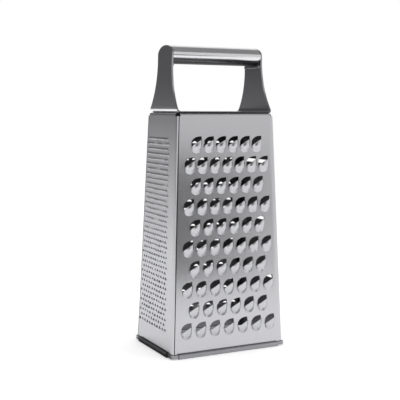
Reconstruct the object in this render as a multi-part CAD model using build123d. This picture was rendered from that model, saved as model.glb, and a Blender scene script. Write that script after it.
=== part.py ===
import os
from math import atan, cos, pi, radians, sin, sqrt, tan

from build123d import *

# A four-sided box grater of stainless sheet, standing on its rim.
# Origin at the middle of its foot, +Z up, coarse face to -Y. All sizes in millimetres.

# Driving dimensions of the body, a four-sided pyramid cut off at its shoulder
base_width = 105.0        # outside, left to right, at floor level
base_depth = 72.5         # outside, front to back, at floor level
shoulder_height = 199.0   # floor to the top of the flanges that carry the handle
side_lean = 7.65          # how far every wall leans inwards up to the shoulder
sheet = 0.6               # sheet thickness of the four walls
overrun = 1.0             # how far every tool runs past what it cuts

# Walls: each is bent round the corner at its right, as seen from outside, and its plain
# left edge meets the next wall's bent edge in a narrow open seam
wall_foot = 1.0           # floor to the bottom edge of the walls
edge_radius = 1.3         # outside radius of the bent edge
edge_lip = 0.3            # flat width past the bend
edge_stub = 1.0           # flat strip of the wall's own face that comes with the bent edge
seam_gap = 0.5            # width of the seam
shoulder_radius = 2.0     # outside radius of the bend at the top of a wall
shoulder_flange = 5.0     # how far a top flange reaches in from the wall's face
corner_relief = 3.0       # plain notch each side of a corner, so that the bends can turn
mitre_setback = 0.15      # each top flange's end to the corner's mitre

# Coarse face: hooded teeth, cut on a slant, in rows of six and seven. In every face's
# rows the lengths run down the wall from the top of a tooth's cut.
coarse_width = 9.2        # across one tooth
coarse_rise = 3.2         # how far the hood stands out from the wall
coarse_length = 13.7      # from the top of the cut to the foot of the hood
coarse_mouth_low = 8.3    # cut top to the low end of the cutting edge
coarse_mouth_high = 3.4   # cut top to the high end of the cutting edge
coarse_mouth_lean = 1.55  # how far the crown of the edge hangs over its own slot
coarse_first_row = 18.7   # shoulder down to the top of the first row
coarse_row_pitch = 16.86
coarse_margin = 7.25      # plain strip beside the widest rows
coarse_offset = 0.4       # the field of teeth sits this far towards the bent edge
coarse_rows = 10
coarse_columns = 7
coarse_facets = 3

# Medium face: small hooded teeth with level edges, staggered
medium_width = 5.2
medium_rise = 1.9
medium_length = 5.4
medium_mouth = 2.0        # cut top to the cutting edge
medium_first_row = 17.5
medium_row_pitch = 7.4
medium_margin = 5.5
medium_rows = 22
medium_columns = 11
medium_facets = 2

# Fine face: raised points, staggered
fine_width = 2.2
fine_rise = 0.9
fine_length = 2.4
fine_mouth = 0.8
fine_first_row = 20.3
fine_row_pitch = 4.24
fine_margin = 8.75
fine_offset = 5.2         # the field of points sits this far towards the plain back edge
fine_rows = 38
fine_columns = 11

# Slicing face: wide slots, each with a raised blade along its lower side
slicer_width = 44.0
slicer_slot = 3.4         # height of the opening
slicer_rise = 2.4         # how far the blade's edge stands out
slicer_ramp = 9.0         # length of the ramp below the blade's edge
slicer_end = 5.0          # the edge comes down to the wall over this length at each end
slicer_corner = 1.2       # corners taken off the slot's ends
slicer_first_row = 40.0
slicer_row_pitch = 50.0
slicer_rows = 3

# Rim: a folded strip along the foot of each wall, rolled outwards
rim_height = 4.4
rim_projection = 2.1      # how far the roll stands out from the wall's foot line
rim_sheet = 0.5
rim_bend_radius = 0.7     # to the middle of the strip's sheet
rim_lip = 3.4             # height of the strip's leg inside the wall
rim_curl = 2.6            # how far the roll's free edge turns down beside the wall
rim_clearance = 0.1       # between the strip and the wall in it
long_rim_end = 5.5        # corner of the walls to the end of the front and back strips
short_rim_end = 8.0       # the same for the strips at the sides

# Bands: one round each corner, between the ends of two strips
band_height = 2.6
band_foot = 1.2           # floor to the band's lower edge
band_projection = 1.3
band_clearance = 0.1
band_gap = 0.3            # between a band and the strips beside it
band_radius = 1.5         # inside radius where the band turns the corner

# Handle bracket: one bent strip, a web on the shoulder and a leg at each side.
# Its heights are measured from the shoulder.
strip = 1.5
web_half_depth = 27.9
leg_foot_half_width = 44.2   # outside of the legs, produced down to the shoulder
leg_top_half_width = 42.3    # outside of the legs at the height of the grip's axis
leg_foot_height = 1.0        # where the legs' curved edges run into the web's
web_bend_radius = 3.5        # outside radius between the web and a leg
leg_waist_half_depth = 13.7  # half of the leg's narrowest width
leg_waist_height = 41.0
ledge_height = 1.6           # small ledge across each leg, that the grip lies on
ledge_depth = 1.4
ledge_end = 1.5              # edge of the leg to the end of its ledge

# Grip: an oval tube between the legs
grip_depth = 28.0
grip_height = 15.2
grip_axis_height = 47.8
grip_wall = 0.9
grip_clearance = 0.1

lean_angle = atan(side_lean / shoulder_height)
sheet_across = sheet / cos(lean_angle)     # the wall's thickness in a level section
half_turn = 180
leg_slope = (leg_foot_half_width - leg_top_half_width) / grip_axis_height
strip_across = strip * sqrt(1 + leg_slope ** 2)     # a leg's thickness in a level section

# The coarse cut's upper edge from right to left, as shares of half the tooth's width,
# to the right, and of its length, down.
coarse_cut_shares = [(1.0, 0.0), (0.22, 0.015), (-0.46, 0.1), (-0.94, 0.26)]


def inset(height):
    # How far a wall has leant in at a height above the floor.
    return side_lean * height / shoulder_height


def along_wall(height):
    # The distance up the wall's face that reaches a height.
    return height / cos(lean_angle)


def level_plane(height):
    return Plane.XY.offset(height)


# Punched teeth. Each is made once, lying in the wall's plane: right, up the wall, outwards,
# with the top of its cut at the origin.

def lowered(points, depth, slope=0.0):
    # The same points deeper in the sheet, in the direction of the cutting edge's lean.
    return [(x, y - slope * depth, z - depth) for x, y, z in points]


def oval_mouth(width, rise, right_drop, left_drop, lean, facets):
    # A cutting edge from right to left: an oval arch in flat facets.
    points = []
    for i in range(facets + 1):
        across = cos(pi * i / facets)
        up = sin(pi * i / facets)
        drop = (right_drop * (1 + across) + left_drop * (1 - across)) / 2
        points.append((width / 2 * across, lean * up - drop, rise * up))
    return points


def oval_foot(width, mouth_drop, length, facets):
    # Where the hood dies into the sheet: half an oval round the middle of the mouth.
    points = []
    for i in range(1, facets):
        angle = pi * i / facets
        reach = mouth_drop + (length - mouth_drop) * sin(angle)
        points.append((width / 2 * cos(angle), -reach, 0.0))
    return points


def punched_tooth(mouth, foot, cut, slope=0.0):
    # The hood over the sheet, the slot above its cutting edge, and the hollow under it.
    base = [mouth[0], mouth[-1], *foot]
    hood = ConvexPolyhedron([*mouth, *foot, *lowered(base, sheet / 2, slope)])
    outline = [mouth[0][:2], *cut, mouth[-1][:2]]
    slot = extrude(make_face(Polyline(*outline, close=True)), amount=sheet + overrun, both=True)
    hollow = ConvexPolyhedron(lowered([*mouth, *foot], sheet))
    return hood, slot, hollow


def coarse_tooth():
    mouth = oval_mouth(coarse_width, coarse_rise, coarse_mouth_high, coarse_mouth_low,
                       coarse_mouth_lean, coarse_facets)
    middle_drop = (coarse_mouth_high + coarse_mouth_low) / 2
    foot = oval_foot(coarse_width, middle_drop, coarse_length, coarse_facets)
    cut = [(coarse_width / 2 * x, -coarse_length * y) for x, y in coarse_cut_shares]
    return punched_tooth(mouth, foot, cut, coarse_mouth_lean / coarse_rise)


def medium_tooth():
    mouth = oval_mouth(medium_width, medium_rise, medium_mouth, medium_mouth, 0, medium_facets)
    foot = oval_foot(medium_width, medium_mouth, medium_length, medium_facets)
    return punched_tooth(mouth, foot, [(0, 0)])


def slicer_tooth():
    # A blade as wide as the face allows, its edge straight and its ends coming down.
    right = slicer_width / 2
    crown = right - slicer_end
    mouth = [(right, -slicer_slot, 0), (crown, -slicer_slot, slicer_rise),
             (-crown, -slicer_slot, slicer_rise), (-right, -slicer_slot, 0)]
    ramp_foot = -slicer_slot - slicer_ramp
    foot = [(crown, ramp_foot, 0), (-crown, ramp_foot, 0)]
    cut = [(right, -slicer_corner), (right - slicer_corner, 0),
           (slicer_corner - right, 0), (-right, -slicer_corner)]
    return punched_tooth(mouth, foot, cut)


def fine_point():
    # A small solid point that ends in a level edge, without a slot of its own.
    half = fine_width / 2
    base = [(half, -fine_mouth, 0), (-half, -fine_mouth, 0), (0, -fine_length, 0)]
    return ConvexPolyhedron([(0, -fine_mouth, fine_rise), *base, *lowered(base, sheet / 2)])


# Flat sheets. Each row of teeth is punched in its own strip, then the strips are joined.

def sheet_strip(half_width_at, high, low):
    # A level strip of the flat sheet, from halfway across the bent edge's stub to the seam.
    bent_end = edge_radius + edge_stub / 2
    plain_end = edge_radius + edge_lip + seam_gap
    right = [(half_width_at(z) - bent_end, along_wall(z)) for z in (low, high)]
    left = [(plain_end - half_width_at(z), along_wall(z)) for z in (high, low)]
    return extrude(make_face(Polyline(*right, *left, close=True)), amount=-sheet)


def punch(strip, places, hood, slot=None, hollow=None):
    # The slots come before the hoods, because a leaning hood hangs over its own slot.
    if slot is not None:
        strip = strip - [place * slot for place in places]
    strip = strip + [place * hood for place in places]
    if hollow is not None:
        strip = strip - [place * hollow for place in places]
    return strip


def spread(half_span, columns, row):
    # Places across a row: every other row has one tooth fewer and stands in the gaps.
    if columns == 1:
        return [0.0]
    pitch = 2 * half_span / (columns - 1)
    count = columns - (row + 1) % 2
    return [(i - (count - 1) / 2) * pitch for i in range(count)]


def punched_sheet(half_width, tooth, width, length, first_row, row_pitch, rows, columns,
                  margin, offset=0.0):
    def half_width_at(height):
        return half_width - inset(height)

    headroom = (row_pitch - length) / 2
    seams = [shoulder_height - first_row + headroom - row * row_pitch for row in range(rows + 1)]
    strips = [sheet_strip(half_width_at, shoulder_height, seams[0])]
    for row in range(rows):
        top = seams[row] - headroom
        half_span = half_width_at(top) - margin - width / 2
        places = [Pos(x + offset, along_wall(top), 0) for x in spread(half_span, columns, row)]
        strip = sheet_strip(half_width_at, seams[row], seams[row + 1])
        strips.append(punch(strip, places, *tooth))
    strips.append(sheet_strip(half_width_at, seams[-1], wall_foot - overrun))
    return strips[0] + strips[1:]


# Walls. Each is made as it would stand at the front, and turned to its own side.

def bent_edge(half_width, half_depth):
    # Level section of the bent right edge with its lip, drawn up along the corner.
    lip_end = -half_depth + edge_radius + edge_lip
    start_x = half_width - edge_radius - edge_stub
    inner_x = half_width - sheet_across
    inner_y = -half_depth + sheet_across
    outer_points = [(start_x, -half_depth), (half_width, -half_depth), (half_width, lip_end)]
    inner_points = [(start_x, inner_y), (inner_x, inner_y), (inner_x, lip_end)]
    outer = FilletPolyline(*outer_points, radius=edge_radius)
    inner = FilletPolyline(*inner_points, radius=edge_radius - sheet_across)
    start = Line(outer_points[0], inner_points[0])
    end = Line(outer_points[-1], inner_points[-1])
    section = make_face([outer, inner, start, end])
    rise = Vector(-side_lean, side_lean, shoulder_height)
    return extrude(section, amount=rise.length, dir=rise)


def shoulder_bend(half_width, half_depth):
    # The wall's top turned in, drawn along the wall and mitred at both ends.
    top_depth = half_depth - side_lean
    low = shoulder_height - shoulder_radius - sheet
    low_depth = half_depth - inset(low)
    outer_points = [(-low_depth, low), (-top_depth, shoulder_height),
                    (-top_depth + shoulder_flange, shoulder_height)]
    inner_corner = -top_depth + sheet_across - inset(sheet)
    inner_points = [(-low_depth + sheet_across, low), (inner_corner, shoulder_height - sheet),
                    (-top_depth + shoulder_flange, shoulder_height - sheet)]
    outer = FilletPolyline(*outer_points, radius=shoulder_radius)
    inner = FilletPolyline(*inner_points, radius=shoulder_radius - sheet)
    start = Line(outer_points[0], inner_points[0])
    end = Line(outer_points[-1], inner_points[-1])
    section = Plane.YZ * make_face([outer, inner, start, end])
    half_length = half_width - side_lean - corner_relief
    bend = extrude(section, amount=half_length, both=True)
    depth = top_depth + mitre_setback
    far = half_width - side_lean
    corners = [(-far, -depth), (far, -depth), (far - depth, 0), (depth - far, 0)]
    mitred = extrude(level_plane(low) * make_face(Polyline(*corners, close=True)), amount=shoulder_height)
    return bend & mitred


def wall(half_width, half_depth, flat):
    # One wall: its punched sheet, the bent edge and the top flange, in one piece.
    outwards = (0, -cos(lean_angle), sin(lean_angle))
    own_plane = Plane(origin=(0, -half_depth, 0), x_dir=(1, 0, 0), z_dir=outwards)
    body = own_plane.location * flat + bent_edge(half_width, half_depth)
    body = split(body, bisect_by=level_plane(wall_foot), keep=Keep.TOP)
    bend_foot = level_plane(shoulder_height - shoulder_radius - sheet)
    body = split(body, bisect_by=bend_foot, keep=Keep.BOTTOM)
    return body + shoulder_bend(half_width, half_depth)


def turned(shape, quarter_turns):
    return Rot(0, 0, half_turn / 2 * quarter_turns) * shape


def coarse_wall():
    flat = punched_sheet(base_width / 2, coarse_tooth(), coarse_width, coarse_length,
                         coarse_first_row, coarse_row_pitch, coarse_rows, coarse_columns,
                         coarse_margin, coarse_offset)
    return wall(base_width / 2, base_depth / 2, flat)


def medium_wall():
    flat = punched_sheet(base_width / 2, medium_tooth(), medium_width, medium_length,
                         medium_first_row, medium_row_pitch, medium_rows, medium_columns,
                         medium_margin)
    return turned(wall(base_width / 2, base_depth / 2, flat), 2)


def fine_wall():
    flat = punched_sheet(base_depth / 2, [fine_point()], fine_width, fine_length,
                         fine_first_row, fine_row_pitch, fine_rows, fine_columns,
                         fine_margin, -fine_offset)
    return turned(wall(base_depth / 2, base_width / 2, flat), -1)


def slicer_wall():
    flat = punched_sheet(base_depth / 2, slicer_tooth(), slicer_width, slicer_slot + slicer_ramp,
                         slicer_first_row, slicer_row_pitch, slicer_rows, 1, 0)
    return turned(wall(base_depth / 2, base_width / 2, flat), 1)


# Rim and corner bands

def rim_strip(half_width, half_depth, end):
    # The strip's section runs down inside the wall, out under it, up, and back to it.
    middle = rim_sheet / 2
    inside = -sheet_across - inset(rim_lip) - rim_clearance - middle
    outside = rim_projection - middle
    top = rim_height - middle
    curl = rim_clearance + middle
    path = FilletPolyline((inside, rim_lip), (inside, middle), (outside, middle), (outside, top),
                          (curl, top), (curl, rim_height - rim_curl), radius=rim_bend_radius)
    section = make_face(offset(path, amount=middle, side=Side.BOTH))
    across = Plane(origin=(0, -half_depth, 0), x_dir=(0, -1, 0), z_dir=(-1, 0, 0))
    return extrude(across * section, amount=half_width - end, both=True)


def corner_band():
    # Round the front left corner, level, between the two strips' ends.
    front_end = -base_width / 2 + long_rim_end - band_gap
    side_end = -base_depth / 2 + short_rim_end - band_gap
    outlines = []
    for reach, radius in ((band_projection, band_radius + band_projection - band_clearance),
                          (band_clearance, band_radius)):
        left = -base_width / 2 - reach
        front = -base_depth / 2 - reach
        outlines.append(FilletPolyline((front_end, front), (left, front), (left, side_end), radius=radius))
    outer, inner = outlines
    section = make_face([outer, inner, Line(outer @ 0, inner @ 0), Line(outer @ 1, inner @ 1)])
    return extrude(level_plane(band_foot) * section, amount=band_height)


# Handle

def leg_outside(height):
    # Half the distance over the legs at a height above the shoulder.
    return leg_foot_half_width - leg_slope * height


def leg_inside(height):
    return leg_outside(height) - strip_across


def bracket_profile():
    # The bent strip as seen from the front: leg, web, leg.
    top = grip_axis_height + grip_height
    outer = FilletPolyline((-leg_outside(top), top), (-leg_outside(0), 0),
                           (leg_outside(0), 0), (leg_outside(top), top), radius=web_bend_radius)
    inner = FilletPolyline((-leg_inside(top), top), (-leg_inside(strip), strip),
                           (leg_inside(strip), strip), (leg_inside(top), top),
                           radius=web_bend_radius - strip)
    return make_face([outer, inner, Line(outer @ 0, inner @ 0), Line(outer @ 1, inner @ 1)])


def bracket_outline():
    # The same strip as seen from the side: the web's edge, a hollow curve up to the waist,
    # and the grip's oval over the top.
    waist = (leg_waist_half_depth, leg_waist_height)
    foot = (web_half_depth, leg_foot_height)
    shoulder_point = (grip_depth / 2, grip_axis_height)
    crown = (0, grip_axis_height + grip_height / 2)
    hollow = TangentArc(waist, foot, tangent=(0, -1))
    top = EllipticalCenterArc(center=(0, grip_axis_height), x_radius=grip_depth / 2,
                              y_radius=grip_height / 2, start_angle=0, arc_size=half_turn / 2)
    half = make_face([top, Line(crown, (0, 0)), Line((0, 0), (web_half_depth, 0)),
                      Line((web_half_depth, 0), foot), hollow, Line(waist, shoulder_point)])
    return half + mirror(half, about=Plane.YZ)


def ledge():
    # On the right leg's inner face, with its top just under the grip.
    top = grip_axis_height - grip_height / 2 - grip_clearance
    inner = leg_inside(top) - ledge_depth
    depth = 2 * (leg_waist_half_depth - ledge_end)
    solid = Box(ledge_depth + strip / 2, depth, ledge_height, align=(Align.MIN, Align.CENTER, Align.MAX))
    return Pos(inner, 0, shoulder_height + top) * solid


def handle_bracket():
    front = Plane(origin=(0, 0, shoulder_height), x_dir=(1, 0, 0), z_dir=(0, -1, 0))
    side = Plane(origin=(0, 0, shoulder_height), x_dir=(0, 1, 0), z_dir=(1, 0, 0))
    bent = extrude(front * bracket_profile(), amount=web_half_depth + overrun, both=True)
    shaped = extrude(side * bracket_outline(), amount=leg_foot_half_width + overrun, both=True)
    right = ledge()
    return (bent & shaped) + [right, mirror(right, about=Plane.YZ)]


def grip_tube():
    # An oval tube, cut off at both ends along the legs' inner faces.
    axis_point = shoulder_height + grip_axis_height
    side = Plane(origin=(0, 0, axis_point), x_dir=(0, 1, 0), z_dir=(1, 0, 0))
    section = Ellipse(grip_depth / 2, grip_height / 2)
    section -= Ellipse(grip_depth / 2 - grip_wall, grip_height / 2 - grip_wall)
    tube = extrude(side * section, amount=leg_foot_half_width, both=True)
    for way in (-1, 1):
        end = (way * (leg_inside(grip_axis_height) - grip_clearance), 0, axis_point)
        tube = split(tube, bisect_by=Plane(origin=end, z_dir=(way, 0, leg_slope)), keep=Keep.BOTTOM)
    return tube


long_strip = rim_strip(base_width / 2, base_depth / 2, long_rim_end)
short_strip = rim_strip(base_depth / 2, base_width / 2, short_rim_end)
front_left = corner_band()
back_left = mirror(front_left, about=Plane.XZ)

parts = {
    "front_wall": coarse_wall(),
    "left_wall": fine_wall(),
    "back_wall": medium_wall(),
    "right_wall": slicer_wall(),
    "front_rim": long_strip,
    "left_rim": turned(short_strip, -1),
    "back_rim": turned(long_strip, 2),
    "right_rim": turned(short_strip, 1),
    "front_left_band": front_left,
    "front_right_band": mirror(front_left, about=Plane.YZ),
    "back_left_band": back_left,
    "back_right_band": mirror(back_left, about=Plane.YZ),
    "handle_bracket": handle_bracket(),
    "grip_tube": grip_tube(),
}

os.makedirs("parts", exist_ok=True)
for name, solid in parts.items():
    export_step(solid, f"parts/{name}.step")
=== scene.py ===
# Stainless box grater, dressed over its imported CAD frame.
import bpy
import bmesh
from math import atan, cos, pi, radians, sin
from mathutils import Euler, Matrix, Vector
from random import Random


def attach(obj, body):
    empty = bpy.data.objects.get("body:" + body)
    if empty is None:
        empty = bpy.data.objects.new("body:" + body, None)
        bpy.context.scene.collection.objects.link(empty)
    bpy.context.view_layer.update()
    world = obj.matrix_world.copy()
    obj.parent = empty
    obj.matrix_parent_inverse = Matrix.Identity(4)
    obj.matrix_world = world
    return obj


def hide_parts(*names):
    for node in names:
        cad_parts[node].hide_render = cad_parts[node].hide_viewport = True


mm = 0.001
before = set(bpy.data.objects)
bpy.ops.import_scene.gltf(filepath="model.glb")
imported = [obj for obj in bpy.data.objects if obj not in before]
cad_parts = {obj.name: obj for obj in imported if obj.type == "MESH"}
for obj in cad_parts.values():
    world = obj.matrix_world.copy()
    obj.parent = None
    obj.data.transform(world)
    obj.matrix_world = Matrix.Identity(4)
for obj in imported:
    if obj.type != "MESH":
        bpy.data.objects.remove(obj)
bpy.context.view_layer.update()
bpy.context.scene.view_settings.view_transform = "Standard"


def vertsOf(geom):
    return [item for item in geom if isinstance(item, bmesh.types.BMVert)]


def edgesOf(geom):
    return [item for item in geom if isinstance(item, bmesh.types.BMEdge)]


def sharpenRims(bm):
    for edge in bm.edges:
        if edge.is_boundary:
            edge.smooth = False


def makeObject(name, bm, materials):
    # Turns a finished bmesh into an object at the origin, with its materials in the order given.
    mesh = bpy.data.meshes.new(name)
    bm.to_mesh(mesh)
    bm.free()
    for material in materials:
        mesh.materials.append(material)
    made = bpy.data.objects.new(name, mesh)
    bpy.context.collection.objects.link(made)
    return made


# Lights, floor and camera

stage = {
    "cameraPlace": (-344.2 * mm, -655.8 * mm, 203.1 * mm),
    "cameraYaw": 27.05,
    "cameraPitch": 6.05,
    "cameraRoll": 0.275,
    "cameraLens": 78.09,
    "cameraSensor": 36,
    "cameraNear": 10 * mm,
    "worldStrength": 0.7,
    "backdropStrength": 1,  # what the camera and the steel see
    "floorSize": 6.0,
    "floorColour": (0.9, 0.9, 0.9, 1),
    "floorRoughness": 0.9,
    "floorGlow": 0.35,
    "lampPlace": (0.1, -0.2, 1.4),
    "lampTarget": (0, 0, 0.1),
    "lampSize": 1.0,
    "lampPower": 5,
    "boardColour": (0.02, 0.02, 0.02, 1),
}
white = (1, 1, 1, 1)


def makeCamera():
    data = bpy.data.cameras.new("camera")
    data.lens = stage["cameraLens"]
    data.sensor_width = stage["cameraSensor"]
    data.clip_start = stage["cameraNear"]
    camera = bpy.data.objects.new("camera", data)
    bpy.context.collection.objects.link(camera)
    turn = Euler((radians(90 - stage["cameraPitch"]), 0, -radians(stage["cameraYaw"])))
    roll = Matrix.Rotation(radians(stage["cameraRoll"]), 4, "Z")
    camera.matrix_world = Matrix.Translation(stage["cameraPlace"]) @ turn.to_matrix().to_4x4() @ roll
    bpy.context.scene.camera = camera


def lightPathMask(tree):
    # One for camera, glossy and transmission rays, which see the plain backdrop.
    path = tree.nodes.new("ShaderNodeLightPath")
    mask = path.outputs["Is Camera Ray"]
    for name in ("Is Glossy Ray", "Is Transmission Ray"):
        larger = tree.nodes.new("ShaderNodeMath")
        larger.operation = "MAXIMUM"
        tree.links.new(mask, larger.inputs[0])
        tree.links.new(path.outputs[name], larger.inputs[1])
        mask = larger.outputs[0]
    return mask


def makeWorld():
    world = bpy.data.worlds.new("studio")
    world.use_nodes = True
    bpy.context.scene.world = world
    tree = world.node_tree
    lit = tree.nodes["Background"]
    lit.inputs["Color"].default_value = white
    lit.inputs["Strength"].default_value = stage["worldStrength"]
    seen = tree.nodes.new("ShaderNodeBackground")
    seen.inputs["Color"].default_value = white
    seen.inputs["Strength"].default_value = stage["backdropStrength"]
    mix = tree.nodes.new("ShaderNodeMixShader")
    tree.links.new(lightPathMask(tree), mix.inputs[0])
    tree.links.new(lit.outputs[0], mix.inputs[1])
    tree.links.new(seen.outputs[0], mix.inputs[2])
    tree.links.new(mix.outputs[0], tree.nodes["World Output"].inputs["Surface"])


def makeFloor():
    material = bpy.data.materials.new("floorWhite")
    material.use_nodes = True
    tree = material.node_tree
    shader = tree.nodes["Principled BSDF"]
    shader.inputs["Base Color"].default_value = stage["floorColour"]
    shader.inputs["Roughness"].default_value = stage["floorRoughness"]
    shader.inputs["Emission Color"].default_value = white
    glow = tree.nodes.new("ShaderNodeMath")
    glow.operation = "MULTIPLY"
    glow.inputs[1].default_value = stage["floorGlow"]
    tree.links.new(lightPathMask(tree), glow.inputs[0])
    tree.links.new(glow.outputs[0], shader.inputs["Emission Strength"])
    bm = bmesh.new()
    bmesh.ops.create_grid(bm, x_segments=1, y_segments=1, size=stage["floorSize"] / 2)
    floor = makeObject("floor", bm, [material])


def makeLamp():
    data = bpy.data.lights.new("topLight", "AREA")
    data.shape = "SQUARE"
    data.size = stage["lampSize"]
    data.energy = stage["lampPower"]
    lamp = bpy.data.objects.new("topLight", data)
    bpy.context.collection.objects.link(lamp)
    away = Vector(stage["lampTarget"]) - Vector(stage["lampPlace"])
    turn = away.to_track_quat("-Z", "Y").to_matrix().to_4x4()
    lamp.matrix_world = Matrix.Translation(stage["lampPlace"]) @ turn


# Grey boards and mats round the set, in metres, which only reflections in the steel see. A
# board stands at a compass angle from the front towards the right, and its grey runs from its
# lower edge to its upper one. A mat lies flat.
boards = {
    "boardFront": {
        "angle": 8, "distance": 0.47, "width": 0.36, "low": 0.0, "high": 0.172, "grey": (0.03, 0.06)},
    "boardFrontFar": {
        "angle": 5, "distance": 1.2, "width": 2.0, "low": 0.0, "high": 0.9, "grey": (0.95, 0.55)},
    "boardBackLeft": {
        "angle": -156, "distance": 0.8, "width": 1.6, "low": 0.0, "high": 0.25, "grey": (1.0, 0.2)},
    "boardBackLeftHigh": {
        "angle": -150, "distance": 0.85, "width": 1.9, "low": 0.24, "high": 1.6, "grey": (0.16, 0.12)},
    "boardLeft": {
        "angle": -62, "distance": 1.0, "width": 0.7, "low": 0.0, "high": 0.8, "grey": (1.2, 1.2)},
    "boardLeftDark": {
        "angle": -104, "distance": 1.05, "width": 0.9, "low": 0.0, "high": 1.6, "grey": (0.12, 0.12)},
    "boardTop": {"size": (2.2, 2.2), "place": (0.0, 0.0, 1.3), "grey": (0.22, 0.22)},
    # A glowing sheet on the floor inside the body: the painted light level of that shaded floor, seen
    # in the steel inside.
    "paintedLightMatInside": {"size": (0.098, 0.066), "place": (0.0, 0.0, 0.0003), "grey": (0.75, 0.75)},
    # A dark strip beside the left rim: painted shadow on the floor, seen in the rim's reflection.
    "paintedShadowMatLeft": {"size": (0.006, 0.08), "place": (-0.058, 0.0, 0.0003), "grey": (0.03, 0.03)},
}


def makeBoardMaterial(name, low, high, grey):
    material = bpy.data.materials.new(name)
    material.use_nodes = True
    tree = material.node_tree
    shader = tree.nodes["Principled BSDF"]
    shader.inputs["Base Color"].default_value = stage["boardColour"]
    shader.inputs["Roughness"].default_value = 1
    shader.inputs["Emission Color"].default_value = white
    place = tree.nodes.new("ShaderNodeTexCoord")
    split = tree.nodes.new("ShaderNodeSeparateXYZ")
    ramp = tree.nodes.new("ShaderNodeMapRange")
    for socket, value in zip(("From Min", "From Max", "To Min", "To Max"), (low, high, *grey)):
        ramp.inputs[socket].default_value = value
    tree.links.new(place.outputs["Object"], split.inputs[0])
    tree.links.new(split.outputs["Z"], ramp.inputs["Value"])
    tree.links.new(ramp.outputs["Result"], shader.inputs["Emission Strength"])
    return material


def makeBoard(name, spec):
    bm = bmesh.new()
    bmesh.ops.create_grid(bm, x_segments=1, y_segments=1, size=0.5)
    if "size" in spec:
        low, high = 0, 1
        bmesh.ops.scale(bm, vec=(*spec["size"], 1), verts=bm.verts)
        bmesh.ops.translate(bm, vec=spec["place"], verts=bm.verts)
    else:
        low, high = spec["low"], spec["high"]
        upright = Matrix.Rotation(pi / 2, 3, "X")
        aside = Matrix.Rotation(radians(spec["angle"]), 3, "Z")
        bmesh.ops.scale(bm, vec=(spec["width"], high - low, 1), verts=bm.verts)
        bmesh.ops.rotate(bm, cent=(0, 0, 0), matrix=upright, verts=bm.verts)
        bmesh.ops.translate(bm, vec=(0, -spec["distance"], (low + high) / 2), verts=bm.verts)
        bmesh.ops.rotate(bm, cent=(0, 0, 0), matrix=aside, verts=bm.verts)
    board = makeObject(name, bm, [makeBoardMaterial(name, low, high, spec["grey"])])
    board.visible_camera = False
    board.visible_diffuse = False
    board.visible_shadow = False


makeCamera()
makeWorld()
makeFloor()
makeLamp()
for name, spec in boards.items():
    makeBoard(name, spec)
print("stage ready")


# Steel

noise = {"streakDetail": 3, "streakRoughness": 0.6, "blotchDetail": 2, "middle": 0.5}


def makeSteelGroup():
    # Brushed steel: long fine streaks and soft blotches of tone.
    group = bpy.data.node_groups.new("brushedSteel", "ShaderNodeTree")
    sockets = group.interface
    for name, kind in (("Color", "NodeSocketColor"), ("Streak Scale", "NodeSocketVector"),
                       ("Streak Tone", "NodeSocketFloat"), ("Blotch Size", "NodeSocketFloat"),
                       ("Blotch Tone", "NodeSocketFloat"), ("Roughness", "NodeSocketFloat"),
                       ("Roughness Spread", "NodeSocketFloat")):
        sockets.new_socket(name=name, in_out="INPUT", socket_type=kind)
    for name, kind in (("Color", "NodeSocketColor"), ("Roughness", "NodeSocketFloat"),
                       ("Height", "NodeSocketFloat")):
        sockets.new_socket(name=name, in_out="OUTPUT", socket_type=kind)
    nodes, links = group.nodes, group.links
    given = nodes.new("NodeGroupInput")
    result = nodes.new("NodeGroupOutput")
    place = nodes.new("ShaderNodeTexCoord")
    stretch = nodes.new("ShaderNodeVectorMath")
    stretch.operation = "MULTIPLY"
    links.new(place.outputs["Object"], stretch.inputs[0])
    links.new(given.outputs["Streak Scale"], stretch.inputs[1])
    streaks = nodes.new("ShaderNodeTexNoise")
    streaks.inputs["Scale"].default_value = 1
    streaks.inputs["Detail"].default_value = noise["streakDetail"]
    streaks.inputs["Roughness"].default_value = noise["streakRoughness"]
    links.new(stretch.outputs[0], streaks.inputs["Vector"])
    blotches = nodes.new("ShaderNodeTexNoise")
    blotches.inputs["Detail"].default_value = noise["blotchDetail"]
    links.new(place.outputs["Object"], blotches.inputs["Vector"])
    links.new(given.outputs["Blotch Size"], blotches.inputs["Scale"])

    def centred(source, amount):
        # The noise about its middle, times an amount.
        shifted = nodes.new("ShaderNodeMath")
        shifted.operation = "SUBTRACT"
        shifted.inputs[1].default_value = noise["middle"]
        links.new(source, shifted.inputs[0])
        scaled = nodes.new("ShaderNodeMath")
        scaled.operation = "MULTIPLY"
        links.new(shifted.outputs[0], scaled.inputs[0])
        links.new(amount, scaled.inputs[1])
        return scaled.outputs[0]

    def added(first, second):
        total = nodes.new("ShaderNodeMath")
        total.operation = "ADD"
        links.new(first, total.inputs[0])
        if isinstance(second, float):
            total.inputs[1].default_value = second
        else:
            links.new(second, total.inputs[1])
        return total.outputs[0]

    streak = centred(streaks.outputs["Fac"], given.outputs["Streak Tone"])
    blotch = centred(blotches.outputs["Fac"], given.outputs["Blotch Tone"])
    tone = added(added(streak, blotch), 1.0)
    tinted = nodes.new("ShaderNodeVectorMath")
    tinted.operation = "SCALE"
    links.new(given.outputs["Color"], tinted.inputs[0])
    links.new(tone, tinted.inputs["Scale"])
    links.new(tinted.outputs[0], result.inputs["Color"])
    spread = centred(streaks.outputs["Fac"], given.outputs["Roughness Spread"])
    links.new(added(given.outputs["Roughness"], spread), result.inputs["Roughness"])
    links.new(streaks.outputs["Fac"], result.inputs["Height"])
    return group


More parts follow.
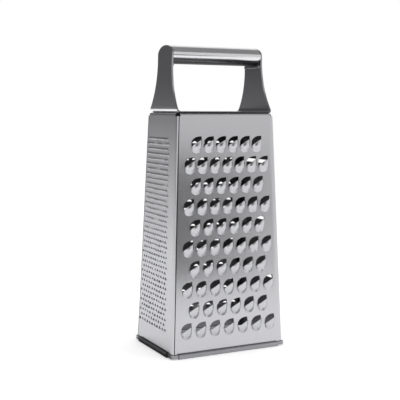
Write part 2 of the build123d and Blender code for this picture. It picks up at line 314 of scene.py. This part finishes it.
# Streaks run along the axes whose scale is small. The walls also have the stretched
# highlights of brushed sheet, along their own UV map.
steelLooks = {
    "wallSteel": {
        "Color": (0.54, 0.54, 0.56, 1), "Streak Scale": (2200, 2200, 25), "Streak Tone": 0.05,
        "Blotch Size": 25.0, "Blotch Tone": 0.05, "Roughness": 0.26, "Roughness Spread": 0.04,
        "bumpStrength": 0.08, "bumpDepth": 0.02 * mm, "brushed": 0.75},
    # The inner side of the walls: a darker copy of the wall steel, painted shade inside the body.
    "insideShadeSteel": {
        "Color": (0.2, 0.2, 0.21, 1), "Streak Scale": (1800, 1800, 40), "Streak Tone": 0.12,
        "Blotch Size": 25.0, "Blotch Tone": 0.12, "Roughness": 0.34, "Roughness Spread": 0.08,
        "bumpStrength": 0.25, "bumpDepth": 0.02 * mm},
    # Near-black steel, painted shade: in the slots of the fine and medium teeth, in the seams, under
    # the grip and on the web's sheared edges.
    "paintedShadeSteel": {
        "Color": (0.03, 0.03, 0.032, 1), "Streak Scale": (300, 300, 4000), "Streak Tone": 0.3,
        "Blotch Size": 80.0, "Blotch Tone": 0.2, "Roughness": 0.5, "Roughness Spread": 0.1,
        "bumpStrength": 0.4, "bumpDepth": 0.03 * mm},
    "rimSteel": {
        "Color": (0.3, 0.3, 0.315, 1), "Streak Scale": (60, 60, 2500), "Streak Tone": 0.5,
        "Blotch Size": 60.0, "Blotch Tone": 0.1, "Roughness": 0.26, "Roughness Spread": 0.08,
        "bumpStrength": 0.3, "bumpDepth": 0.02 * mm},
    # The left and right rims: a darker copy of the rim steel, painted shade.
    "rimSideShadeSteel": {
        "Color": (0.11, 0.11, 0.115, 1), "Streak Scale": (60, 60, 2500), "Streak Tone": 0.12,
        "Blotch Size": 60.0, "Blotch Tone": 0.1, "Roughness": 0.3, "Roughness Spread": 0.08,
        "bumpStrength": 0.3, "bumpDepth": 0.02 * mm},
    "bracketSteel": {
        "Color": (0.36, 0.36, 0.38, 1), "Streak Scale": (1500, 1500, 40), "Streak Tone": 0.08,
        "Blotch Size": 30.0, "Blotch Tone": 0.06, "Roughness": 0.2, "Roughness Spread": 0.06,
        "bumpStrength": 0.25, "bumpDepth": 0.02 * mm},
    # The handle legs' inner sides: a darker copy of the strip steel, painted shade.
    "legInsideShadeSteel": {
        "Color": (0.2, 0.2, 0.215, 1), "Streak Scale": (1500, 1500, 40), "Streak Tone": 0.08,
        "Blotch Size": 30.0, "Blotch Tone": 0.08, "Roughness": 0.24, "Roughness Spread": 0.06,
        "bumpStrength": 0.2, "bumpDepth": 0.02 * mm},
    # The undersides of the handle strip's bends: a bright copy of the strip steel, painted highlight.
    "bendHighlightSteel": {
        "Color": (0.86, 0.86, 0.88, 1), "Streak Scale": (1500, 40, 1500), "Streak Tone": 0.06,
        "Blotch Size": 30.0, "Blotch Tone": 0.04, "Roughness": 0.2, "Roughness Spread": 0.04,
        "bumpStrength": 0.1, "bumpDepth": 0.02 * mm},
    "gripSteel": {
        "Color": (0.74, 0.74, 0.755, 1), "Streak Scale": (30, 2500, 2500), "Streak Tone": 0.08,
        "Blotch Size": 30.0, "Blotch Tone": 0.05, "Roughness": 0.22, "Roughness Spread": 0.06,
        "bumpStrength": 0.25, "bumpDepth": 0.02 * mm},
}
steelGroup = makeSteelGroup()


def makeSteel(name, look):
    material = bpy.data.materials.new(name)
    material.use_nodes = True
    tree = material.node_tree
    shader = tree.nodes["Principled BSDF"]
    shader.inputs["Metallic"].default_value = 1
    surface = tree.nodes.new("ShaderNodeGroup")
    surface.node_tree = steelGroup
    for socket in surface.inputs:
        socket.default_value = look[socket.name]
    bump = tree.nodes.new("ShaderNodeBump")
    bump.inputs["Strength"].default_value = look["bumpStrength"]
    bump.inputs["Distance"].default_value = look["bumpDepth"]
    tree.links.new(surface.outputs["Color"], shader.inputs["Base Color"])
    tree.links.new(surface.outputs["Roughness"], shader.inputs["Roughness"])
    tree.links.new(surface.outputs["Height"], bump.inputs["Height"])
    tree.links.new(bump.outputs["Normal"], shader.inputs["Normal"])
    if "brushed" in look:
        shader.inputs["Anisotropic"].default_value = look["brushed"]
        tangent = tree.nodes.new("ShaderNodeTangent")
        tangent.direction_type = "UV_MAP"
        tangent.uv_map = "brush"
        tree.links.new(tangent.outputs[0], shader.inputs["Tangent"])
    return material


steel = {name: makeSteel(name, look) for name, look in steelLooks.items()}
print("steel ready")


# Walls, each pressed and bent from one sheet, in millimetres until they are made objects

body = {
    "halfWidth": 52.5, "halfDepth": 36.25, "height": 199.0, "lean": 7.65, "sheet": 0.6, "foot": 1.0,
    "swellRadius": 20.0, "swellAngle": 12.0, "swellSteps": 4, "bendRadius": 1.0, "bendSteps": 6,
    "lip": 0.2, "plainEdge": 2.35,  # the seam is what the left edge leaves beside the next wall's lip
    "joggle": 0.75, "joggleRun": 0.45, "tuck": 1.6,
    "topRadius": 2.0, "topSteps": 6, "topFlange": 5.0, "topRelief": 3.0,
    "weld": 0.12, "tolerance": 0.001, "lineShare": 0.4, "fillTurn": 17, "brushScale": 10,
}
leanAngle = atan(body["lean"] / body["height"])
wallSteels = ["wallSteel", "insideShadeSteel", "paintedShadeSteel"]

# A tooth is a hood on a grid of across by along cells, which lies below its row's height: its
# mouth starts mouthRight and mouthLeft lower, its sides end at side and its foot at length.
# A squareness of 2 arches it as an ellipse. Its slot is cut along points in shares of half its
# width and of its length, from the right end of the mouth round to the left. The sheet's cut
# edges have edgeSteel, which on the fine and medium faces is painted near-black as shade in the
# slots.
coarseTooth = {
    "width": 9.2, "rise": 3.2, "length": 13.7, "mouthRight": 3.4, "mouthLeft": 8.3, "mouthLean": 1.55,
    "side": 8.9, "across": 16, "along": 7, "squareness": 2.2, "footRound": 2.1,
    "crownPower": 3.0, "crownRoot": 1.5,
    "slotShares": [(1.0, 0.0), (0.62, 0.003), (0.22, 0.015), (-0.14, 0.045), (-0.46, 0.1),
                   (-0.74, 0.175), (-0.94, 0.26), (-1.02, 0.36)],
}
coarseField = {
    "firstRow": 18.7, "pitch": 16.86, "rows": 10, "columns": 7, "margin": 7.25, "offset": 0.4,
    "edgeSteel": "wallSteel",
}
mediumTooth = {
    "width": 5.2, "rise": 1.9, "length": 5.4, "mouthRight": 2.0, "mouthLeft": 2.0, "mouthLean": 0.0,
    "side": 2.3, "across": 6, "along": 3, "squareness": 2.0, "footRound": 2.2,
    "crownPower": 2.0, "crownRoot": 1.1,
    "slotShares": [(0.8, 0.2), (0.45, 0.06), (0.0, 0.0), (-0.45, 0.06), (-0.8, 0.2)],
}
mediumField = {
    "firstRow": 17.5, "pitch": 7.4, "rows": 22, "columns": 11, "margin": 5.5, "offset": 0.0,
    "edgeSteel": "paintedShadeSteel",
}
fineTooth = {
    "width": 2.4, "rise": 0.75, "length": 2.65, "mouthRight": 1.65, "mouthLeft": 1.65, "mouthLean": 0.0,
    "side": 1.8, "across": 4, "along": 2, "squareness": 2.0, "footRound": 2.0,
    "crownPower": 2.0, "crownRoot": 1.0,
    "slotShares": [(0.8, 0.2), (0.2, -0.04), (-0.2, -0.04), (-0.8, 0.2)],
}
fineField = {
    "firstRow": 20.0, "pitch": 4.24, "rows": 38, "columns": 11, "margin": 8.75, "offset": -5.2,
    "turn": 16, "uneven": 0.5,  # how far, at most, a point turns and rises or falls by chance
    "edgeSteel": "paintedShadeSteel",
}
slicerTooth = {
    "width": 44.0, "rise": 2.4, "length": 12.4, "mouthRight": 3.4, "mouthLeft": 3.4, "mouthLean": 0.0,
    "side": 3.4, "across": 36, "along": 5, "squareness": 7.0, "footRound": 7.0,
    "crownPower": 1.15, "crownRoot": 1.0,
    "slotShares": [(1.0, 0.1), (0.985, 0.04), (0.945, 0.0), (-0.945, 0.0), (-0.985, 0.04), (-1.0, 0.1)],
}
slicerField = {
    "firstRow": 40.0, "pitch": 50.0, "rows": 3, "columns": 1, "margin": 0.0, "offset": 0.0,
    "edgeSteel": "wallSteel",
}


def inset(height):
    return body["lean"] * height / body["height"]


def alongWall(height):
    return height / cos(leanAngle)


def flatEnd(halfWidth, height):
    # Where the flat sheet ends on the right and its margin starts to swell back.
    swell = radians(body["swellAngle"])
    bend = body["bendRadius"] * (1 - sin(swell))
    return halfWidth - inset(height) - bend - body["swellRadius"] * sin(swell)


def hoodPoint(tooth, across, along):
    # across runs from the left end of the mouth, 0, to its right end, 1; along from mouth to foot.
    x = -cos(pi * across)
    arch = (1 - abs(x) ** tooth["squareness"]) ** (1 / tooth["squareness"])
    drop = (tooth["mouthRight"] * (1 + x) + tooth["mouthLeft"] * (1 - x)) / 2
    mouth = tooth["mouthLean"] * arch - drop
    roundness = tooth["footRound"]
    tail = (1 - abs(x) ** roundness) ** (1 / roundness)
    foot = -tooth["side"] - (tooth["length"] - tooth["side"]) * tail
    height = tooth["rise"] * arch * (1 - along ** tooth["crownPower"]) ** tooth["crownRoot"]
    return Vector((tooth["width"] / 2 * x, mouth + (foot - mouth) * along, height))


def addTooth(bm, tooth):
    # One raised hood from a grid, and the outline of the slot above its cutting edge.
    made = bmesh.ops.create_grid(bm, x_segments=tooth["across"], y_segments=tooth["along"], size=0.5)
    for vert in made["verts"]:
        vert.co = hoodPoint(tooth, vert.co.x + 0.5, max(0.0, min(1.0, vert.co.y + 0.5)))
    bmesh.ops.remove_doubles(bm, verts=made["verts"], dist=body["weld"])
    verts = [vert for vert in made["verts"] if vert.is_valid]
    rightEnd = max(verts, key=lambda vert: vert.co.x)
    leftEnd = min(verts, key=lambda vert: vert.co.x)
    chain = [rightEnd]
    for x, y in tooth["slotShares"]:
        chain.append(bm.verts.new((tooth["width"] / 2 * x, -tooth["length"] * y, 0)))
    chain.append(leftEnd)
    edges = [bm.edges.new(pair) for pair in zip(chain, chain[1:])]
    faces = list(dict.fromkeys(face for vert in verts for face in vert.link_faces))
    hoodEdges = list(dict.fromkeys(edge for face in faces for edge in face.edges))
    return verts + chain[1:-1] + hoodEdges + edges + faces


def toothPlaces(tooth, field, halfWidth):
    places = []
    for row in range(field["rows"]):
        height = body["height"] - field["firstRow"] - row * field["pitch"]
        halfSpan = halfWidth - inset(height) - field["margin"] - tooth["width"] / 2
        count, pitch = 1, 0
        if field["columns"] > 1:
            # Every other row has one tooth fewer and sits between its neighbours' teeth.
            count = field["columns"] - (row + 1) % 2
            pitch = 2 * halfSpan / (field["columns"] - 1)
        for i in range(count):
            across = (i - (count - 1) / 2) * pitch + field["offset"]
            places.append(Vector((across, alongWall(height), 0)))
    return places


def addTeeth(bm, tooth, field, halfWidth, chance):
    pattern = addTooth(bm, tooth)
    for place in toothPlaces(tooth, field, halfWidth):
        verts = vertsOf(bmesh.ops.duplicate(bm, geom=pattern)["geom"])
        if "turn" in field:
            turn = Matrix.Rotation(radians(field["turn"]) * chance.uniform(-1, 1), 3, "Z")
            bmesh.ops.rotate(bm, cent=(0, 0, 0), matrix=turn, verts=verts)
            bmesh.ops.scale(bm, vec=(1, 1, 1 + field["uneven"] * chance.uniform(-1, 1)), verts=verts)
        bmesh.ops.translate(bm, vec=place, verts=verts)
    bmesh.ops.delete(bm, geom=vertsOf(pattern), context="VERTS")


def rowLines(tooth, field):
    # Heights of straight lines between the rows of teeth, from the lowest up.
    drop = tooth["length"] + body["lineShare"] * (field["pitch"] - tooth["length"])
    first = body["height"] - field["firstRow"] - drop
    return [first - row * field["pitch"] for row in range(field["rows"] - 2, -1, -1)]


def addOutline(bm, halfWidth, lines):
    # The flat sheet's outline from its lower left corner, with the top bend's step in it, and
    # the lines across it that part the rows. Gives the edges on the right and the one on top.
    def left(height):
        return body["plainEdge"] - halfWidth + inset(height)

    sideTop = body["height"] - body["topRadius"] - body["sheet"]
    bendLine = body["height"] - body["topRadius"] * (1 - sin(leanAngle))
    step = halfWidth - body["lean"] - body["topRelief"]
    corners = [(left(body["foot"]), body["foot"])]
    corners += [(flatEnd(halfWidth, height), height) for height in (body["foot"], *lines, sideTop)]
    corners += [(step, sideTop), (step, bendLine), (-step, bendLine), (-step, sideTop)]
    corners += [(left(height), height) for height in (sideTop, *reversed(lines))]
    verts = [bm.verts.new((x, alongWall(height), 0)) for x, height in corners]
    edges = [bm.edges.new((vert, verts[(i + 1) % len(verts)])) for i, vert in enumerate(verts)]
    count = len(lines)
    for i in range(count):
        bm.edges.new((verts[2 + i], verts[-1 - i]))
    return edges[1:count + 2], edges[count + 4]


def fillSheet(bm, lines):
    # Fills the sheet round its teeth, one band between two lines after the other.
    near = body["tolerance"]
    level = [edge for edge in bm.edges
             if len(edge.link_faces) < 2 and all(abs(vert.co.z) < near for vert in edge.verts)]
    for edge in level:
        edge.smooth = False
    marks = [alongWall(height) for height in lines]
    bands = []
    for low, high in zip([0, *marks], [*marks, 2 * body["height"]]):
        bands.append([edge for edge in level
                      if all(low - near < vert.co.y < high + near for vert in edge.verts)])
    # The fill is steadier when the rows don't run along an axis.
    aslant = Matrix.Rotation(radians(body["fillTurn"]), 3, "Z")
    bmesh.ops.rotate(bm, cent=(0, 0, 0), matrix=aslant, verts=bm.verts)
    for band in bands:
        bmesh.ops.triangle_fill(bm, use_beauty=True, use_dissolve=False, edges=band, normal=(0, 0, 1))
    bmesh.ops.rotate(bm, cent=(0, 0, 0), matrix=aslant.inverted(), verts=bm.verts)


def edgeVerts(edges):
    return list(dict.fromkeys(vert for edge in edges for vert in edge.verts))


def edgeCurve(bm, edges, centre, axis, angle, steps):
    # Turns a sheet's edge round an axis, and gives the edges at its end.
    geom = [*edges, *edgeVerts(edges)]
    made = bmesh.ops.spin(bm, geom=geom, cent=centre, axis=axis, angle=angle, steps=steps)
    return edgesOf(made["geom_last"])


def extrudeEdge(bm, edges, move):
    made = bmesh.ops.extrude_edge_only(bm, edges=edges)["geom"]
    verts = vertsOf(made)
    bmesh.ops.translate(bm, vec=move, verts=verts)
    return [edge for edge in edgesOf(made) if all(vert in verts for vert in edge.verts)]


def bendSide(bm, edges, halfWidth, halfDepth, outward):
    # The right margin swells back a little, turns the corner and tucks in behind the next wall.
    radius = body["bendRadius"]
    swellRadius = body["swellRadius"]
    swell = radians(body["swellAngle"])
    rise = Vector((-body["lean"], body["lean"], body["height"]))
    rightward = Vector((cos(leanAngle), 0, sin(leanAngle)))
    axis = rise.normalized()
    centre = Vector((flatEnd(halfWidth, 0), -halfDepth + swellRadius, 0))
    edges = edgeCurve(bm, edges, centre, axis, swell, body["swellSteps"])
    centre += (swellRadius - radius) * Vector((sin(swell), -cos(swell), 0))
    edges = edgeCurve(bm, edges, centre, axis, outward.angle(rightward) - swell, body["bendSteps"])
    edges = extrudeEdge(bm, edges, (0, body["lip"], 0))
    shown = set(bm.faces)
    edges = extrudeEdge(bm, edges, (-body["joggle"], body["joggleRun"], 0))
    extrudeEdge(bm, edges, (0, body["tuck"], 0))
    # The joggle and the tuck behind the seam are painted near-black, as shade in the seam.
    for face in bm.faces:
        if face not in shown:
            face.material_index = wallSteels.index("paintedShadeSteel")


def bendTop(bm, edge, halfDepth):
    # The top turns in to a mitred flange.
    radius = body["topRadius"]
    topDepth = halfDepth - body["lean"]
    middleHeight = body["height"] - radius
    faceLine = -halfDepth + inset(middleHeight)
    centre = Vector((0, faceLine + radius / cos(leanAngle), middleHeight))
    edges = edgeCurve(bm, [edge], centre, (-1, 0, 0), pi / 2 - leanAngle, body["topSteps"])
    edges = extrudeEdge(bm, edges, (0, body["topFlange"] - centre.y - topDepth, 0))
    for vert in edgeVerts(edges):
        vert.co.x -= (body["topFlange"] - radius) * (1 if vert.co.x > 0 else -1)


def makeWall(name, node, halfWidth, halfDepth, tooth, field, quarterTurns):
    bm = bmesh.new()
    addTeeth(bm, tooth, field, halfWidth, Random(quarterTurns))
    lines = rowLines(tooth, field)
    sideEdges, topEdge = addOutline(bm, halfWidth, lines)
    fillSheet(bm, lines)

    brush = bm.loops.layers.uv.new("brush")
    outward = Vector((0, -cos(leanAngle), sin(leanAngle)))
    upward = Vector((0, sin(leanAngle), cos(leanAngle)))
    stand = Matrix((Vector((1, 0, 0)), upward, outward)).transposed().to_4x4()
    stand.translation = Vector((0, -halfDepth, 0))
    bmesh.ops.transform(bm, matrix=stand, verts=bm.verts)
    bendSide(bm, sideEdges, halfWidth, halfDepth, outward)
    bendTop(bm, topEdge, halfDepth)

    bm.normal_update()
    flat = max(bm.faces, key=lambda face: face.calc_area())
    bmesh.ops.recalc_face_normals(bm, faces=bm.faces)
    if flat.normal.dot(outward) < 0:
        bmesh.ops.reverse_faces(bm, faces=bm.faces)
    sharpenRims(bm)
    scale = body["brushScale"]
    for face in bm.faces:
        face.smooth = True
        for loop in face.loops:
            x, y, z = loop.vert.co
            loop[brush].uv = ((x + y) * mm * scale, z * mm * scale)
    turn = Matrix.Rotation(pi / 2 * quarterTurns, 3, "Z")
    bmesh.ops.rotate(bm, cent=(0, 0, 0), matrix=turn, verts=bm.verts)
    bmesh.ops.scale(bm, vec=(mm, mm, mm), verts=bm.verts)
    piece = makeObject(name, bm, [steel[slot] for slot in wallSteels])
    thickness = piece.modifiers.new("sheet", "SOLIDIFY")
    thickness.thickness = body["sheet"] * mm
    thickness.offset = -1
    # The inner side of the sheet gets painted shade.
    thickness.material_offset = wallSteels.index("insideShadeSteel")
    thickness.material_offset_rim = wallSteels.index(field["edgeSteel"])
    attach(piece, "root")
    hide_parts(node)


makeWall("coarseFace", "front_wall", body["halfWidth"], body["halfDepth"], coarseTooth, coarseField, 0)
makeWall("fineFace", "left_wall", body["halfDepth"], body["halfWidth"], fineTooth, fineField, -1)
makeWall("mediumFace", "back_wall", body["halfWidth"], body["halfDepth"], mediumTooth, mediumField, 2)
makeWall("slicingFace", "right_wall", body["halfDepth"], body["halfWidth"], slicerTooth, slicerField, 1)
print("walls ready")


# Handle: an oval tube in millimetres, and the frame's bent strip in metres

grip = {
    "halfDepth": 14.0, "halfHeight": 7.6, "wall": 0.9, "axisHeight": 246.8, "around": 96,
    "halfLength": 40.85, "lengthSteps": 12, "endSlope": 0.03975, "paintedUndersideSlope": -0.9,
}
gripSteels = ["gripSteel", "paintedShadeSteel"]


def makeGrip():
    # An oval tube whose ends follow the leaning legs.
    bm = bmesh.new()
    bmesh.ops.create_circle(bm, segments=grip["around"], radius=1)
    lengthwise = Matrix.Rotation(pi / 2, 3, "Y")
    bmesh.ops.rotate(bm, cent=(0, 0, 0), matrix=lengthwise, verts=bm.verts)
    bmesh.ops.scale(bm, vec=(1, grip["halfDepth"], grip["halfHeight"]), verts=bm.verts)
    bmesh.ops.translate(bm, vec=(-grip["halfLength"], 0, 0), verts=bm.verts)
    ring = list(bm.edges)
    for _ in range(grip["lengthSteps"]):
        ring = extrudeEdge(bm, ring, (2 * grip["halfLength"] / grip["lengthSteps"], 0, 0))
    for vert in bm.verts:
        vert.co.x *= 1 - grip["endSlope"] * vert.co.z / grip["halfLength"]
    bmesh.ops.recalc_face_normals(bm, faces=bm.faces)
    bm.normal_update()
    sample = next(iter(bm.faces))
    if sample.normal.dot(Vector((0, *sample.calc_center_median().yz))) < 0:
        bmesh.ops.reverse_faces(bm, faces=bm.faces)
    bm.normal_update()
    for face in bm.faces:
        face.smooth = True
        # The tube's rolled seam runs underneath, and the underside is painted near-black as shade.
        if face.normal.z < grip["paintedUndersideSlope"]:
            face.material_index = gripSteels.index("paintedShadeSteel")
    sharpenRims(bm)
    bmesh.ops.translate(bm, vec=(0, 0, grip["axisHeight"]), verts=bm.verts)
    bmesh.ops.scale(bm, vec=(mm, mm, mm), verts=bm.verts)
    piece = makeObject("gripTube", bm, [steel[slot] for slot in gripSteels])
    thickness = piece.modifiers.new("wall", "SOLIDIFY")
    thickness.thickness = grip["wall"] * mm
    thickness.offset = -1
    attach(piece, "root")
    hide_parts("grip_tube")


bracket = {
    "edgeRound": 0.15 * mm, "edgeSegments": 2, "edgeAngle": 35, "flatAngle": 1, "weld": 0.002 * mm,
    "webTop": 200.6 * mm, "bendTop": 206 * mm,
    "squareSlope": 0.99, "legSlope": 0.9, "bendSlope": 0.1,  # parts of a face's normal
}
bracketSteels = ["bracketSteel", "paintedShadeSteel", "legInsideShadeSteel", "bendHighlightSteel"]


def stripSteel(face):
    # The web's sheared front and back are painted near-black as shade in the groove under them, the
    # legs' inner sides are painted darker than their outer ones as shade, and the undersides of the
    # bends at their feet are painted bright as a highlight.
    normal, middle = face.normal, face.calc_center_median()
    if abs(normal.y) > bracket["squareSlope"] and middle.z < bracket["webTop"]:
        return "paintedShadeSteel"
    if abs(normal.x) > bracket["legSlope"] and normal.x * middle.x < 0:
        return "legInsideShadeSteel"
    if -bracket["squareSlope"] < normal.z < -bracket["bendSlope"] and middle.z < bracket["bendTop"]:
        return "bendHighlightSteel"
    return "bracketSteel"


def makeBracket():
    # The bent strip from the frame, merged, with its sharp edges broken.
    bm = bmesh.new()
    bm.from_mesh(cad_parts["handle_bracket"].data)
    bmesh.ops.remove_doubles(bm, verts=bm.verts, dist=bracket["weld"])
    flat = radians(bracket["flatAngle"])
    bmesh.ops.dissolve_limit(bm, angle_limit=flat, verts=bm.verts, edges=bm.edges)
    bm.normal_update()
    for face in bm.faces:
        face.smooth = True
        face.material_index = bracketSteels.index(stripSteel(face))
    sharp = radians(bracket["edgeAngle"])
    for edge in bm.edges:
        edge.smooth = edge.calc_face_angle(0) < sharp
    piece = makeObject("handleStrip", bm, [steel[slot] for slot in bracketSteels])
    soften = piece.modifiers.new("brokenEdges", "BEVEL")
    soften.width = bracket["edgeRound"]
    soften.segments = bracket["edgeSegments"]
    soften.limit_method = "ANGLE"
    soften.angle_limit = sharp
    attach(piece, "root")
    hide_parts("handle_bracket")


makeGrip()
makeBracket()
print("handle ready")


# The rims and the bands keep their CAD shapes

for name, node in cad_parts.items():
    if name.endswith(("_rim", "_band")):
        # The left and right rims get painted shade.
        side = name in ("left_rim", "right_rim")
        node.data.materials.clear()
        node.data.materials.append(steel["rimSideShadeSteel" if side else "rimSteel"])
print("rim ready")
